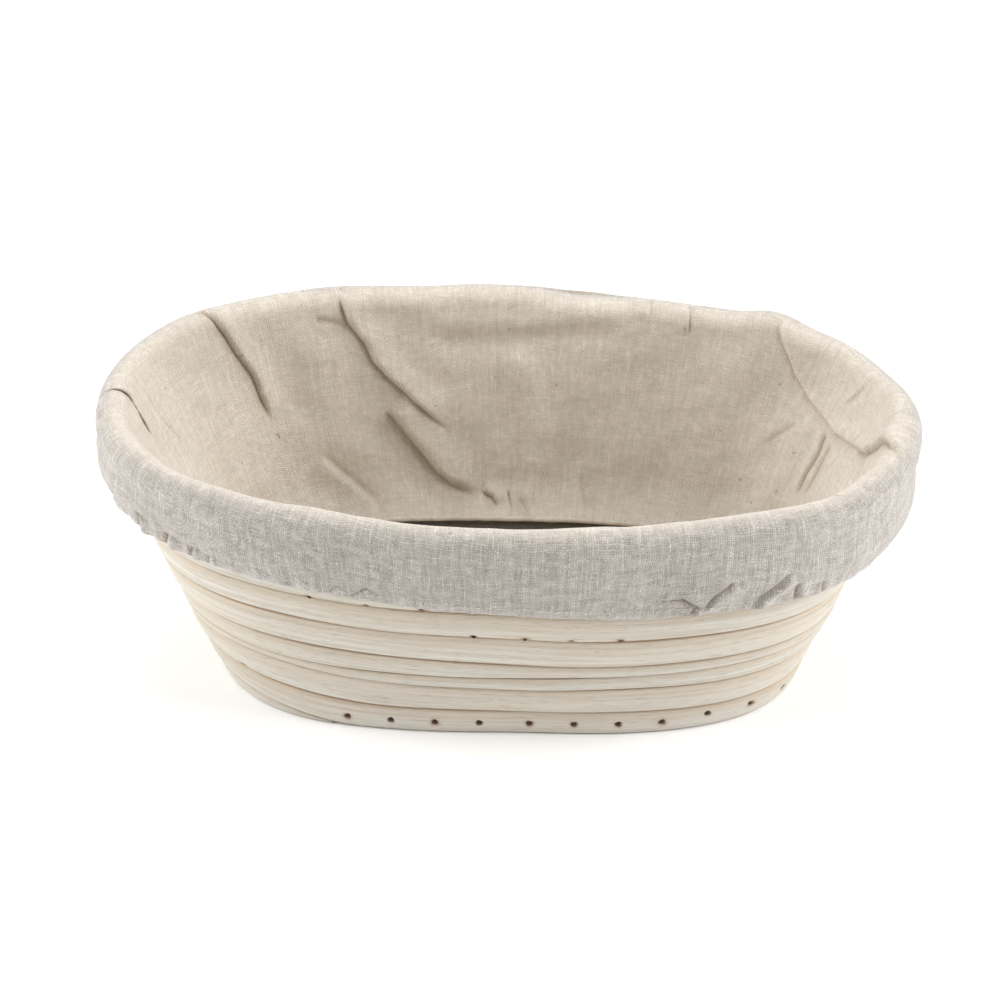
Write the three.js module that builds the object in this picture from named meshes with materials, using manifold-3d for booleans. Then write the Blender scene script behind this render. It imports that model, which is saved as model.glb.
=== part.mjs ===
// Oval banneton: a coiled rattan proofing basket with a loose linen liner.
// Millimetres, +Z up. The origin is the centre of the underside, +X runs along the long axis, and -Y is the
// front.
import * as THREE from 'three';
import { mergeVertices } from 'three/addons/utils/BufferGeometryUtils.js';
import Module from 'manifold-3d';

const wasm = await Module();
wasm.setup();

// ---- driving dimensions ----
const HEIGHT = 80; // underside to the highest point of the cane rim
const RIM = { a: 125, b: 75, squareness: 2.3 }; // outer half-axes of the cane at the rim
const BASE = { a: 89, b: 59.5, squareness: 3.2 }; // outer half-axes of the cane at the underside
const GAP = 0.3; // clearance between neighbouring pieces

const WALL_THICK = 7; // cane thickness, through the wall
const STEPS = 32; // stations in one round of the wall
const STATION_APART = 0.25; // least share of a step between a station and a cane's end
const FULL_ROUNDS = 8; // rounds of full height at every place
const LAST_SHARE = 0.5; // height that the shaved last round adds, as a share of a full one
const PITCH = HEIGHT / (FULL_ROUNDS + LAST_SHARE);
const START_DEG = -123.75; // where the wall cane starts, at the front left; it runs clockwise seen from above
const SCARF = 0.09; // length of the start and end tapers, in rounds
const CLIMB_GROWTH = 1.6; // each round climbs over a longer stretch than the one below
const CLIMB_MAX = 0.6;
const WALL_START = 0.012; // in rounds; the scarf's blunt start
const WALL_END = 8.458; // the tip of the tail, at the back
const TIP = 0.9; // thickness left at a tapered tip
const JOINTS = [{ from: 2.5, to: 3.25 }, { from: 6.35, to: 6.47 }]; // long scarfs between two lengths of cane

const FLOOR_THICK = 7.6;
const FLOOR_WIDTH = 8.6; // cane width in plan
const FLOOR_PITCH = 9.3;
const FLOOR_HALF_RUN = 29.8; // half of the straight run that the floor is wound round
const FLOOR_SQUARE_OFF = 0.045; // how far the outer floor rounds bulge into the corners
const FLOOR_ARC_STEP = 11.5;
const FLOOR_ARCS = 10; // half turns before the tail
const FLOOR_TAIL = { sweepDeg: 140, steps: 12, width: 1.8 };

const CLOTH = 1.2; // thickness of the linen
const CLOTH_OFF = 0.4; // clearance between linen and cane
const RIM_CENTRE = 2.2; // how far below the cane's top the cloth's turn over it is centred
const STEP_DOWN = { fromDeg: 96, toDeg: 42 }; // where the cloth eases down over the cane's tail
const HEM_LOW = 49.4; // where the hem turns at the right end, measured up the wall
const HEM_HIGH = 56.2;
const HEM_LIFT = { rise: 13, sharpness: 2.3 }; // the hem rides up towards the left end
const HEM_FOLD = 0.3; // straight part below the turn's middle
const HEM_OUT = 7.1; // cloth centre at the hem, out from the middle of the wall
const SKIRT_EASE = { out: 0.5, share: 0.45 }; // where the skirt starts to stand off the cane
const INSIDE_HEIGHTS = [8.8, 15, 26, 38, 52, 65]; // stations up the inside of the wall, from the floor seam
const FLOOR_SEAM = { above: 3.4, inside: 1 }; // its thread, from the floor cane's top and the cloth's face
const FLOOR_EDGE_CLEAR = 0.4; // between the floor cloth's edge and the wall cloth
const HEM_STITCH = { belowHigh: 2, clear: 0.42 };
const SEAM_HALF_GAP_DEG = 0.16;
const ELASTIC = { thick: 0.8, low: 51.9, high: 55.8, out: 5.8 };
const THREAD_R = 0.3;

const NAIL = { shank: 0.7, head: 1.15, headThick: 1.1, point: 1.6, sunk: 0.1 };
const NAIL_SIDES = 5;
const NAIL_CLEAR = 0.38; // corner to corner, so that the flats clear by GAP
const HOLE_OVERRUN = 1.4; // how far a hole's cutter stands out of the cane
const BASE_NAILS = { count: 34, from: 0.115, to: 1.0, length: 13.4 };
const TIE_NAILS = [ // toed in through a groove: where along the cane, in rounds
  { at: 5.892, step: 0.0277, count: 5 },
  { at: 4.844, step: 0.0257, count: 4 },
  { at: 2.055, step: 0, count: 1 },
];
const TIE = { length: 8.6, above: 1.9, pitchDeg: 50, depth: 0.9 };

// ---- finishes ----
const finish = (color, roughness, metalness = 0) =>
  new THREE.MeshStandardMaterial({ color, roughness, metalness });
const CANE = () => finish('#dccdb4', 0.62);
const LINEN = () => finish('#bdb2a3', 0.95);
const THREAD = () => finish('#d9d0c0', 0.9);
const STEEL = () => finish('#4a3526', 0.6, 0.7);
const RUBBER = () => finish('#e6e1d8', 0.8);

// ---- the wall's surface ----
const ANGLE_STEP = 0.01; // radians, for finding the direction along the wall
const MID_HEIGHT = 40;
const radians = THREE.MathUtils.degToRad;
const smooth = (x) => THREE.MathUtils.smoothstep(x, 0, 1);
const mix = THREE.MathUtils.lerp;

// A point of a superellipse, at a direction part way between polar and eccentric angle.
function ovalPoint(a, b, squareness, angle) {
  const d = new THREE.Vector2(Math.cos(angle) * Math.sqrt(a), Math.sin(angle) * Math.sqrt(b));
  const reach = Math.abs(d.x / a) ** squareness + Math.abs(d.y / b) ** squareness;
  return d.multiplyScalar(reach ** (-1 / squareness));
}

// The middle of the wall at height z.
function wallMiddle(z, angle) {
  const t = z / HEIGHT;
  const inset = WALL_THICK / 2;
  const squareness = mix(BASE.squareness, RIM.squareness, t);
  const p = ovalPoint(mix(BASE.a, RIM.a, t) - inset, mix(BASE.b, RIM.b, t) - inset, squareness, angle);
  return new THREE.Vector3(p.x, p.y, z);
}

const alongWall = (z, angle) =>
  wallMiddle(z, angle + ANGLE_STEP).sub(wallMiddle(z, angle - ANGLE_STEP)).normalize();

// The wall's own axes at a place: out through its thickness, and up its slope.
function wallAxes(z, angle) {
  const along = alongWall(z, angle);
  const flat = new THREE.Vector3(along.y, -along.x, 0);
  const slope = wallMiddle(HEIGHT, angle).sub(wallMiddle(0, angle)).dot(flat) / HEIGHT;
  const lean = Math.atan(slope) * Math.min(1, z / PITCH);
  const out = flat.clone().multiplyScalar(Math.cos(lean)).setZ(-Math.sin(lean));
  const up = flat.clone().multiplyScalar(Math.sin(lean)).setZ(Math.cos(lean));
  return { out, up, flat };
}

function wallPoint(z, out, angle) {
  return wallMiddle(z, angle).addScaledVector(wallAxes(z, angle).out, out);
}

// How many cane heights lie below the cane, u rounds from its start.
function layersBelow(u) {
  let layers = 0;
  for (let k = 1; k <= FULL_ROUNDS + 1; k++) {
    const climb = Math.min(CLIMB_MAX, SCARF * CLIMB_GROWTH ** (k - 1));
    const share = k > FULL_ROUNDS ? LAST_SHARE : 1;
    layers += share * smooth((u - k - SCARF / 2 + climb / 2) / climb);
  }
  return layers;
}

const angleAt = (u) => radians(START_DEG - 360 * u);

// ---- solids ----
const MERGE_WITHIN = 1e-5;

// A closed body through a list of rings with the same number of points each.
function skin(rings, closed = false) {
  const n = rings[0].length;
  const positions = rings.flat().flatMap((p) => [p.x, p.y, p.z]);
  const index = [];
  const last = closed ? rings.length : rings.length - 1;
  for (let i = 0; i < last; i++) {
    for (let j = 0; j < n; j++) {
      const a = i * n + j;
      const b = i * n + ((j + 1) % n);
      const c = ((i + 1) % rings.length) * n + j;
      const d = ((i + 1) % rings.length) * n + ((j + 1) % n);
      index.push(a, b, c, b, d, c);
    }
  }
  if (!closed) {
    addCap(rings[0], 0, index, true);
    addCap(rings[rings.length - 1], (rings.length - 1) * n, index, false);
  }
  const geometry = new THREE.BufferGeometry();
  geometry.setAttribute('position', new THREE.Float32BufferAttribute(positions, 3));
  geometry.setIndex(index);
  return facingOut(geometry);
}

// A flat cap over one ring, which may be concave.
function addCap(ring, offset, index, flip) {
  const middle = ring.reduce((sum, p) => sum.add(p), new THREE.Vector3()).divideScalar(ring.length);
  const normal = new THREE.Vector3();
  ring.forEach((p, i) => {
    const q = ring[(i + 1) % ring.length];
    normal.add(new THREE.Vector3().crossVectors(p.clone().sub(middle), q.clone().sub(middle)));
  });
  const turn = new THREE.Quaternion().setFromUnitVectors(normal.normalize(), new THREE.Vector3(0, 0, 1));
  const turned = ring.map((p) => p.clone().sub(middle).applyQuaternion(turn));
  const flat = turned.map((p) => new THREE.Vector2(p.x, p.y));
  for (const [a, b, c] of THREE.ShapeUtils.triangulateShape(flat, [])) {
    index.push(offset + a, offset + (flip ? c : b), offset + (flip ? b : c));
  }
}

function volume(geometry) {
  const p = geometry.attributes.position;
  const at = (i) => new THREE.Vector3().fromBufferAttribute(p, geometry.index.getX(i));
  let sum = 0;
  for (let i = 0; i < geometry.index.count; i += 3) sum += at(i).dot(at(i + 1).cross(at(i + 2))) / 6;
  return sum;
}

function facingOut(geometry) {
  if (volume(geometry) < 0) geometry.setIndex(Array.from(geometry.index.array).reverse());
  return geometry;
}

function toManifold(geometry) {
  const plain = geometry.clone();
  plain.deleteAttribute('normal');
  plain.deleteAttribute('uv');
  const merged = facingOut(mergeVertices(plain, MERGE_WITHIN));
  const vertProperties = new Float32Array(merged.attributes.position.array);
  const triVerts = new Uint32Array(merged.index.array);
  return new wasm.Manifold(new wasm.Mesh({ numProp: 3, vertProperties, triVerts }));
}

function fromManifold(solid) {
  const { vertProperties, triVerts } = solid.getMesh();
  const geometry = new THREE.BufferGeometry();
  geometry.setAttribute('position', new THREE.BufferAttribute(new Float32Array(vertProperties), 3));
  geometry.setIndex(Array.from(triVerts));
  return geometry;
}

function bored(geometry, cutters) {
  let solid = toManifold(geometry);
  for (const cutter of cutters) solid = solid.subtract(toManifold(cutter));
  return fromManifold(solid);
}

// A cane's section: a rectangle with its corners taken off, as [across, up] from -1 to 1.
const CORNER = 0.58;
const SECTION = [
  [1, -CORNER], [1, CORNER], [CORNER, 1], [-CORNER, 1],
  [-1, CORNER], [-1, -CORNER], [-CORNER, -1], [CORNER, -1],
];

// ---- wall cane ----
// Heights of the cane's two faces at u, with the tapers of its start, its tail and the joints between
// lengths.
function caneHeights(u, first, last) {
  let low = PITCH * layersBelow(u) + (u < 1 ? 0 : GAP / 2);
  let high = PITCH * layersBelow(u + 1) - GAP / 2;
  if (u > WALL_END - SCARF) high = mix(high, low, (u - WALL_END + SCARF) / SCARF);
  const full = high - low;
  // where a scarf cuts through the cane's height, with a blunt tip left at either end
  const cut = ({ from: start, to: end }) => {
    const share = THREE.MathUtils.clamp((u - start) / (end - start), 0, 1);
    return THREE.MathUtils.clamp(full * (1 - share), TIP + GAP / 2, full - TIP - GAP / 2);
  };
  if (last && u >= last.from) high = low + cut(last) - GAP / 2;
  if (first && u <= first.to) low += cut(first) + GAP / 2;
  high = Math.max(high, low + TIP);
  return { low, high };
}

function wallCane(from, to, first, last) {
  const ends = [from, to, first?.to, last?.from].filter((u) => u !== undefined);
  const even = Array.from({ length: STEPS * (FULL_ROUNDS + 1) }, (_, i) => i / STEPS);
  const apart = STATION_APART / STEPS;
  const clear = even.filter((u) => u > from && u < to && ends.every((end) => Math.abs(u - end) > apart));
  const stations = [...ends, ...clear].sort((a, b) => a - b);
  return skin(stations.map((u) => {
    const { low, high } = caneHeights(u, first, last);
    return SECTION.map(([across, up]) =>
      wallPoint(mix(low, high, (up + 1) / 2), (across * WALL_THICK) / 2, angleAt(u)));
  }));
}

// ---- floor cane ----
// The middle line: a straight run, then arcs about the run's two ends in turn, and a tail that dies out.
function floorLine() {
  const points = [];
  const half = FLOOR_HALF_RUN;
  const straight = (y, sign) => {
    for (let i = 0; i < 3; i++) points.push(new THREE.Vector2(sign * mix(-half, half, i / 3), y));
  };
  straight(0, 1);
  let y = 0;
  for (let k = 1; k <= FLOOR_ARCS + 1; k++) {
    const tail = k > FLOOR_ARCS;
    const side = k % 2 === 1 ? 1 : -1; // the run's right end first, then its left end
    const radius = (k / 2) * FLOOR_PITCH;
    const centreY = y + side * radius;
    const sweep = tail ? radians(FLOOR_TAIL.sweepDeg) : Math.PI;
    const steps = tail ? FLOOR_TAIL.steps : Math.max(3, Math.ceil((radius * sweep) / FLOOR_ARC_STEP));
    for (let i = 0; i < steps + (tail ? 1 : 0); i++) {
      const a = (sweep * i) / steps - (side * Math.PI) / 2;
      points.push(new THREE.Vector2(side * half + radius * Math.cos(a), centreY + radius * Math.sin(a)));
    }
    y = centreY + side * radius;
    if (!tail) straight(y, -side);
  }
  return points;
}

// Pushes the outer rounds into the corners, as the wall's foot does.
function squaredOff(p) {
  const radius = p.length() / BASE.a;
  const corner = Math.sin(2 * Math.atan2(p.y / BASE.b, p.x / BASE.a)) ** 2;
  return p.clone().multiplyScalar(1 + FLOOR_SQUARE_OFF * radius * corner);
}

function floorCane() {
  const line = floorLine();
  const middle = line.map(squaredOff);
  const tailFrom = line.length - 1 - FLOOR_TAIL.steps;
  return skin(middle.map((p, i) => {
    const ahead = middle[Math.min(i + 1, middle.length - 1)];
    const behind = middle[Math.max(i - 1, 0)];
    const along = ahead.clone().sub(behind).normalize();
    const left = new THREE.Vector2(-along.y, along.x);
    // the tail is shaved on its outer side, so its inner edge keeps to the round inside it
    const taper = THREE.MathUtils.clamp((i - tailFrom) / (middle.length - 1 - tailFrom), 0, 1);
    const width = mix(FLOOR_WIDTH, FLOOR_TAIL.width, taper);
    const centre = p.clone().addScaledVector(left, (FLOOR_WIDTH - width) / 2);
    return SECTION.map(([across, up]) => {
      const q = centre.clone().addScaledVector(left, (-across * width) / 2);
      return new THREE.Vector3(q.x, q.y, ((up + 1) / 2) * FLOOR_THICK);
    });
  }));
}

// ---- nails ----
// A countersunk brad turned about its own axis: the head's face at 0, the point at -length.
function nailShape(length, clear) {
  const outline = [
    [0, -length - clear], [NAIL.shank + clear, -length + NAIL.point],
    [NAIL.shank + clear, -NAIL.headThick], [NAIL.head + clear, 0],
  ];
  if (clear) outline.push([NAIL.head + clear, HOLE_OVERRUN], [0, HOLE_OVERRUN]);
  else outline.push([0, 0]);
  const geometry = new THREE.LatheGeometry(outline.map(([r, h]) => new THREE.Vector2(r, h)), NAIL_SIDES);
  geometry.rotateX(Math.PI / 2);
  return geometry;
}

// Stands a nail's shape at a place, its head facing along a direction.
function stood(geometry, place, facing) {
  const turn = new THREE.Quaternion().setFromUnitVectors(new THREE.Vector3(0, 0, 1), facing);
  return geometry.clone().applyQuaternion(turn).translate(place.x, place.y, place.z);
}

function baseNailPlaces() {
  const samples = 400;
  const at = (i) => mix(BASE_NAILS.from, BASE_NAILS.to, i / samples);
  const lengths = [0];
  for (let i = 1; i <= samples; i++) {
    const [here, before] = [at(i), at(i - 1)].map((u) => wallMiddle(0, angleAt(u)));
    lengths.push(lengths[i - 1] + here.distanceTo(before));
  }
  return Array.from({ length: BASE_NAILS.count }, (_, n) => {
    const want = (lengths[samples] * n) / (BASE_NAILS.count - 1);
    const u = at(lengths.findIndex((l) => l >= want - 1e-9));
    const angle = angleAt(u);
    const { flat } = wallAxes(PITCH / 2, angle);
    return { place: wallPoint(PITCH / 2, WALL_THICK / 2 - NAIL.sunk, angle), facing: flat };
  });
}

function tieNailPlaces() {
  return TIE_NAILS.flatMap(({ at, step, count }) => Array.from({ length: count }, (_, n) => {
    const u = at + step * n;
    const z = PITCH * layersBelow(u) + TIE.above;
    const { flat } = wallAxes(z, angleAt(u));
    const pitch = radians(TIE.pitchDeg);
    const facing = flat.clone().multiplyScalar(Math.cos(pitch)).setZ(Math.sin(pitch));
    return { place: wallPoint(z, WALL_THICK / 2 - TIE.depth, angleAt(u)), facing };
  }));
}

// ---- liner ----
// How far the cane's top lies below its highest point, as the cloth over it follows it round.
function rimDrop(angle) {
  const deg = THREE.MathUtils.euclideanModulo(THREE.MathUtils.radToDeg(angle) + 180, 360) - 180;
  const pastTail = deg > STEP_DOWN.toDeg;
  const rounds = (START_DEG - deg) / 360 + (pastTail ? 1 : 0);
  const climbed = (layersBelow(FULL_ROUNDS + 1 + rounds) - FULL_ROUNDS) / LAST_SHARE;
  const eased = pastTail ? smooth((deg - STEP_DOWN.toDeg) / (STEP_DOWN.fromDeg - STEP_DOWN.toDeg)) : 1;
  return PITCH * LAST_SHARE * (1 - climbed * eased);
}

const hemLift = (angle) => HEM_LIFT.rise * ((1 - Math.cos(angle)) / 2) ** HEM_LIFT.sharpness;

// The cloth's middle line from the floor seam over the rim to the end of the hem, as [out, up] about the
// wall's middle.
function clothLine(angle) {
  const reach = WALL_THICK / 2 + CLOTH_OFF + CLOTH / 2;
  const rim = HEIGHT - RIM_CENTRE - rimDrop(angle);
  const line = INSIDE_HEIGHTS.map((z) => [-reach, z, 0]);
  for (let i = 0; i <= 6; i++) line.push([reach, rim, Math.PI * (1 - i / 6)]);
  const turn = (HEM_OUT - reach) / 2;
  const low = HEM_LOW + hemLift(angle);
  const high = HEM_HIGH + hemLift(angle);
  line.push([reach + SKIRT_EASE.out, mix(high, rim, SKIRT_EASE.share), 0]);
  line.push([HEM_OUT, high, 0], [HEM_OUT, low + turn + HEM_FOLD, 0], [reach + turn, low, 0]);
  line.push([reach, low + turn + HEM_FOLD, 0], [reach, high - CLOTH, 0]);
  return line;
}

// The same line at one place round the wall, as points with the cloth's normal.
function clothStation(angle) {
  const centres = clothLine(angle).map(([out, z, arc]) => {
    const { out: outward, up } = wallAxes(z, angle);
    const middle = wallMiddle(z, angle);
    if (!arc) return middle.addScaledVector(outward, out);
    return middle.addScaledVector(outward, out * Math.cos(arc)).addScaledVector(up, out * Math.sin(arc));
  });
  const along = alongWall(MID_HEIGHT, angle);
  return centres.map((p, i) => {
    const ahead = centres[Math.min(i + 1, centres.length - 1)];
    const behind = centres[Math.max(i - 1, 0)];
    const normal = new THREE.Vector3().crossVectors(ahead.clone().sub(behind), along).normalize();
    return { p, normal };
  });
}

// One side of the liner, with the linen's thickness, from one end seam to the other.
function sidePanel(fromDeg, toDeg) {
  const stations = [fromDeg + SEAM_HALF_GAP_DEG];
  const step = 360 / STEPS;
  for (let a = Math.ceil((fromDeg + 1) / step) * step; a < toDeg - 1; a += step) stations.push(a);
  stations.push(toDeg - SEAM_HALF_GAP_DEG);
  return skin(stations.map((deg) => {
    const line = clothStation(radians(deg));
    const visible = line.map(({ p, normal }) => p.clone().addScaledVector(normal, CLOTH / 2));
    const hidden = line.map(({ p, normal }) => p.clone().addScaledVector(normal, -CLOTH / 2));
    return [...visible, ...hidden.reverse()];
  }));
}

function ringAround(station) {
  return skin(Array.from({ length: STEPS }, (_, i) => station(radians((360 * i) / STEPS))), true);
}

function floorPanel() {
  const out = -(WALL_THICK / 2 + CLOTH_OFF + CLOTH + FLOOR_EDGE_CLEAR);
  const low = FLOOR_THICK + CLOTH_OFF;
  const shape = new THREE.Shape(Array.from({ length: STEPS }, (_, i) => {
    const p = wallPoint(low + CLOTH, out, radians((360 * i) / STEPS));
    return new THREE.Vector2(p.x, p.y);
  }));
  return new THREE.ExtrudeGeometry(shape, { depth: CLOTH, bevelEnabled: false }).translate(0, 0, low);
}

function elasticBand() {
  return ringAround((angle) => {
    const corner = (out, z) => wallPoint(z + hemLift(angle), ELASTIC.out + (out * ELASTIC.thick) / 2, angle);
    const { low, high } = ELASTIC;
    return [corner(-1, low), corner(1, low), corner(1, high), corner(-1, high)];
  });
}

function threadRound(place, across, up) {
  return [[1, 0], [0, 1], [-1, 0], [0, -1]].map(([x, y]) =>
    place.clone().addScaledVector(across, x * THREAD_R).addScaledVector(up, y * THREAD_R));
}

function ringThread(height, out) {
  return ringAround((angle) => {
    const z = height(angle);
    const axes = wallAxes(z, angle);
    return threadRound(wallPoint(z, out, angle), axes.out, axes.up);
  });
}

function endSeamThread(deg) {
  const angle = radians(deg);
  const side = new THREE.Vector3(0, 1, 0);
  const line = clothStation(angle).slice(0, -4);
  line[0].p.lerp(line[1].p, 0.4);
  return skin(line.map(({ p, normal }) => {
    const place = p.clone().addScaledVector(normal, CLOTH / 2 + GAP + THREAD_R);
    return threadRound(place, normal, side);
  }));
}

// ---- assembly ----
const banneton = new THREE.Group();
const basket = new THREE.Group();
const liner = new THREE.Group();
banneton.add(basket, liner);

function add(parent, name, geometry, material) {
  const plain = geometry.clone();
  plain.deleteAttribute('uv');
  plain.computeVertexNormals();
  const mesh = new THREE.Mesh(plain, material);
  mesh.name = name;
  parent.add(mesh);
}

const baseNails = baseNailPlaces().map((nail) => ({ ...nail, length: BASE_NAILS.length }));
const tieNails = tieNailPlaces().map((nail) => ({ ...nail, length: TIE.length }));
const holes = (nails) =>
  nails.map(({ place, facing, length }) => stood(nailShape(length, NAIL_CLEAR), place, facing));
const allHoles = holes([...baseNails, ...tieNails]);

add(basket, 'floor_cane', bored(floorCane(), holes(baseNails)), CANE());
const [lowJoint, highJoint] = JOINTS;
add(basket, 'wall_cane_lower', bored(wallCane(WALL_START, lowJoint.to, null, lowJoint), allHoles), CANE());
const middleCane = wallCane(lowJoint.from, highJoint.to, lowJoint, highJoint);
add(basket, 'wall_cane_middle', bored(middleCane, allHoles), CANE());
add(basket, 'wall_cane_upper', wallCane(highJoint.from, WALL_END, highJoint, null), CANE());

const numbered = (name, i) => `${name}_${String(i + 1).padStart(2, '0')}`;
const addNail = (name) => ({ place, facing, length }, i) =>
  add(basket, numbered(name, i), stood(nailShape(length, 0), place, facing), STEEL());
baseNails.forEach(addNail('base_nail'));
tieNails.forEach(addNail('tie_nail'));

add(liner, 'liner_floor_panel', floorPanel(), LINEN());
add(liner, 'liner_front_panel', sidePanel(-180, 0), LINEN());
add(liner, 'liner_back_panel', sidePanel(0, 180), LINEN());
add(liner, 'elastic_band', elasticBand(), RUBBER());
const floorSeamOut = -(WALL_THICK / 2 + CLOTH_OFF + CLOTH + FLOOR_SEAM.inside);
add(liner, 'floor_seam_thread', ringThread(() => FLOOR_THICK + FLOOR_SEAM.above, floorSeamOut), THREAD());
const hemStitchOut = HEM_OUT + CLOTH / 2 + THREAD_R + HEM_STITCH.clear;
const hemStitchHeight = (angle) => HEM_HIGH - HEM_STITCH.belowHigh + hemLift(angle);
add(liner, 'hem_thread', ringThread(hemStitchHeight, hemStitchOut), THREAD());
add(liner, 'left_end_seam_thread', endSeamThread(180), THREAD());
add(liner, 'right_end_seam_thread', endSeamThread(0), THREAD());

export default banneton;
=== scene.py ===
import math

import bpy
import numpy as np
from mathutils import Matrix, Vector


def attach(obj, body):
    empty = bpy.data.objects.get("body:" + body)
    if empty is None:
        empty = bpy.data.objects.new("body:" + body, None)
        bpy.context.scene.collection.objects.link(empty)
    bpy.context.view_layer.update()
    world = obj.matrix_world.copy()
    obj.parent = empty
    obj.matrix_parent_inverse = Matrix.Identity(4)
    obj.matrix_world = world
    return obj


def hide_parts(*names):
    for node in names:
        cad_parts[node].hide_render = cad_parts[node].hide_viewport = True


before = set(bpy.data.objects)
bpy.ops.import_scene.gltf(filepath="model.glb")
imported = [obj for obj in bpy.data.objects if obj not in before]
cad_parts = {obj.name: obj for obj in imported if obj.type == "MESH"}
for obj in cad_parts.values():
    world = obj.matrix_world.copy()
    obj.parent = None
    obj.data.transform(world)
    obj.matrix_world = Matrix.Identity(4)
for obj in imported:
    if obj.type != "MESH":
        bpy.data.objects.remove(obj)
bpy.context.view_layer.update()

# Lengths are in millimetres until a mesh is made. Angles round the basket are in degrees from +X,
# anticlockwise seen from above.
MM = 0.001

# ---- the basket's own dimensions, as in the CAD ----
HEIGHT = 80.0
RIM = (125.0, 75.0, 2.3)  # outer half axes of the cane, and how square the oval is
BASE = (89.0, 59.5, 3.2)
WALL = 7.0  # cane thickness through the wall
FULL_ROUNDS = 8
LAST_SHARE = 0.5  # height of the shaved last round, as a share of a full one
PITCH = HEIGHT / (FULL_ROUNDS + LAST_SHARE)
START_DEG = -123.75  # the wall cane starts here and runs clockwise
SCARF = 0.09  # length of the end tapers, in rounds
CLIMB_GROWTH = 1.6
CLIMB_MAX = 0.6
WALL_START = 0.012
WALL_END = 8.458
TIP = 0.9  # thickness left at a tapered tip
JOINTS = ((2.5, 3.25), (6.35, 6.47))  # scarfs between lengths of cane, in rounds
FLOOR_THICK = 7.6
FLOOR_WIDTH = 8.6
FLOOR_PITCH = 9.3
FLOOR_HALF_RUN = 29.8
FLOOR_SQUARE_OFF = 0.045
FLOOR_ARCS = 10
FLOOR_TAIL_DEG = 140.0
FLOOR_TAIL_WIDTH = 1.8

# ---- finer sizes that only show here ----
CANE_GAP = 0.12
CANE_ROUNDNESS = 6.5  # 2 is an ellipse; more is squarer
CANE_TILT = 0.24  # how far the lower edge of each round's face stands out
CLOTH = 0.7  # thickness
CLOTH_REACH = 4.5  # cloth's middle, from the wall's middle
RIM_CENTRE = 2.2  # how far below the cane's top the cloth's turn over it is centred
TAIL_EASE = (104.0, 66.0)  # where the cloth eases down over the cane's tail
HEM_BASE = 49.4
HEM_LIFT = 13.0
HEM_OUT = 6.9  # cloth's middle at the hem, from the wall's middle
HEM_BAND = 4.6  # height of the sewn casing
ANGLE_STEP = 0.01  # radians, for finding the direction along the wall
GIRTH = 0.016  # metres, half the way round a cane


def smooth(x):
    x = np.clip(x, 0.0, 1.0)
    return x * x * (3 - 2 * x)


def mix(a, b, t):
    return a + (b - a) * t


def bump(x, middle, width):
    return np.exp(-(((x - middle) / width) ** 2))


def ripple(turn, seed, low, high, falloff=1.0):
    """A smooth random line round the basket, about 1 high, with from low to high waves in a round."""
    pick = np.random.default_rng(seed)
    total, power = 0.0, 0.0
    for k in range(low, high + 1):
        size = k ** -falloff
        total = total + size * np.cos(k * turn + pick.uniform(0, 2 * math.pi))
        power += size * size / 2
    return total / math.sqrt(power) / 2


def clouds(x, y, seed, size, count=14):
    """Smooth random relief over a plane, about 1 high, with features of the given size."""
    pick = np.random.default_rng(seed)
    total = 0.0
    for _ in range(count):
        way, k = pick.uniform(0, math.pi), 2 * math.pi / (size * pick.uniform(0.7, 1.8))
        total = total + np.cos(k * (x * math.cos(way) + y * math.sin(way)) + pick.uniform(0, 2 * math.pi))
    return total / math.sqrt(count / 2) / 2


# ---- the wall's surface ----
def oval(a, b, squareness, turn):
    x, y = np.cos(turn) * np.sqrt(a), np.sin(turn) * np.sqrt(b)
    reach = (np.abs(x / a) ** squareness + np.abs(y / b) ** squareness) ** (-1 / squareness)
    return x * reach, y * reach


def wall_middle(z, turn):
    z, turn = np.broadcast_arrays(np.asarray(z, float), np.asarray(turn, float))
    t = z / HEIGHT
    a, b, squareness = (mix(low, high, t) for low, high in zip(BASE, RIM))
    x, y = oval(a - WALL / 2, b - WALL / 2, squareness, turn)
    return np.stack([x, y, z], -1)


def wall_axes(z, turn):
    z, turn = np.broadcast_arrays(np.asarray(z, float), np.asarray(turn, float))
    along = wall_middle(z, turn + ANGLE_STEP) - wall_middle(z, turn - ANGLE_STEP)
    along /= np.linalg.norm(along, axis=-1, keepdims=True)
    flat = np.stack([along[..., 1], -along[..., 0], np.zeros_like(z)], -1)
    slope = ((wall_middle(HEIGHT + 0 * z, turn) - wall_middle(0 * z, turn)) * flat).sum(-1) / HEIGHT
    lean = np.arctan(slope) * np.minimum(1, z / PITCH)
    out = flat * np.cos(lean)[..., None]
    up = flat * np.sin(lean)[..., None]
    out[..., 2] = -np.sin(lean)
    up[..., 2] = np.cos(lean)
    return out, up, flat


def wall_point(z, out, turn):
    return wall_middle(z, turn) + wall_axes(z, turn)[0] * np.asarray(out)[..., None]


def layers_below(u):
    total = 0.0
    for k in range(1, FULL_ROUNDS + 2):
        climb = min(CLIMB_MAX, SCARF * CLIMB_GROWTH ** (k - 1))
        share = LAST_SHARE if k > FULL_ROUNDS else 1.0
        total = total + share * smooth((u - k - SCARF / 2 + climb / 2) / climb)
    return total


def turn_at(u):
    return np.radians(START_DEG - 360 * u)


def rim_drop(deg):
    """How far the cane's top lies below its highest point, eased over the step at the cane's tail."""
    deg = (np.asarray(deg, float) + 180) % 360 - 180
    past = deg > TAIL_EASE[1]
    rounds = (START_DEG - deg) / 360 + past
    climbed = (layers_below(FULL_ROUNDS + 1 + rounds) - FULL_ROUNDS) / LAST_SHARE
    eased = np.where(past, smooth((deg - TAIL_EASE[1]) / (TAIL_EASE[0] - TAIL_EASE[1])), 1.0)
    return PITCH * LAST_SHARE * (1 - climbed * eased)


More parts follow.
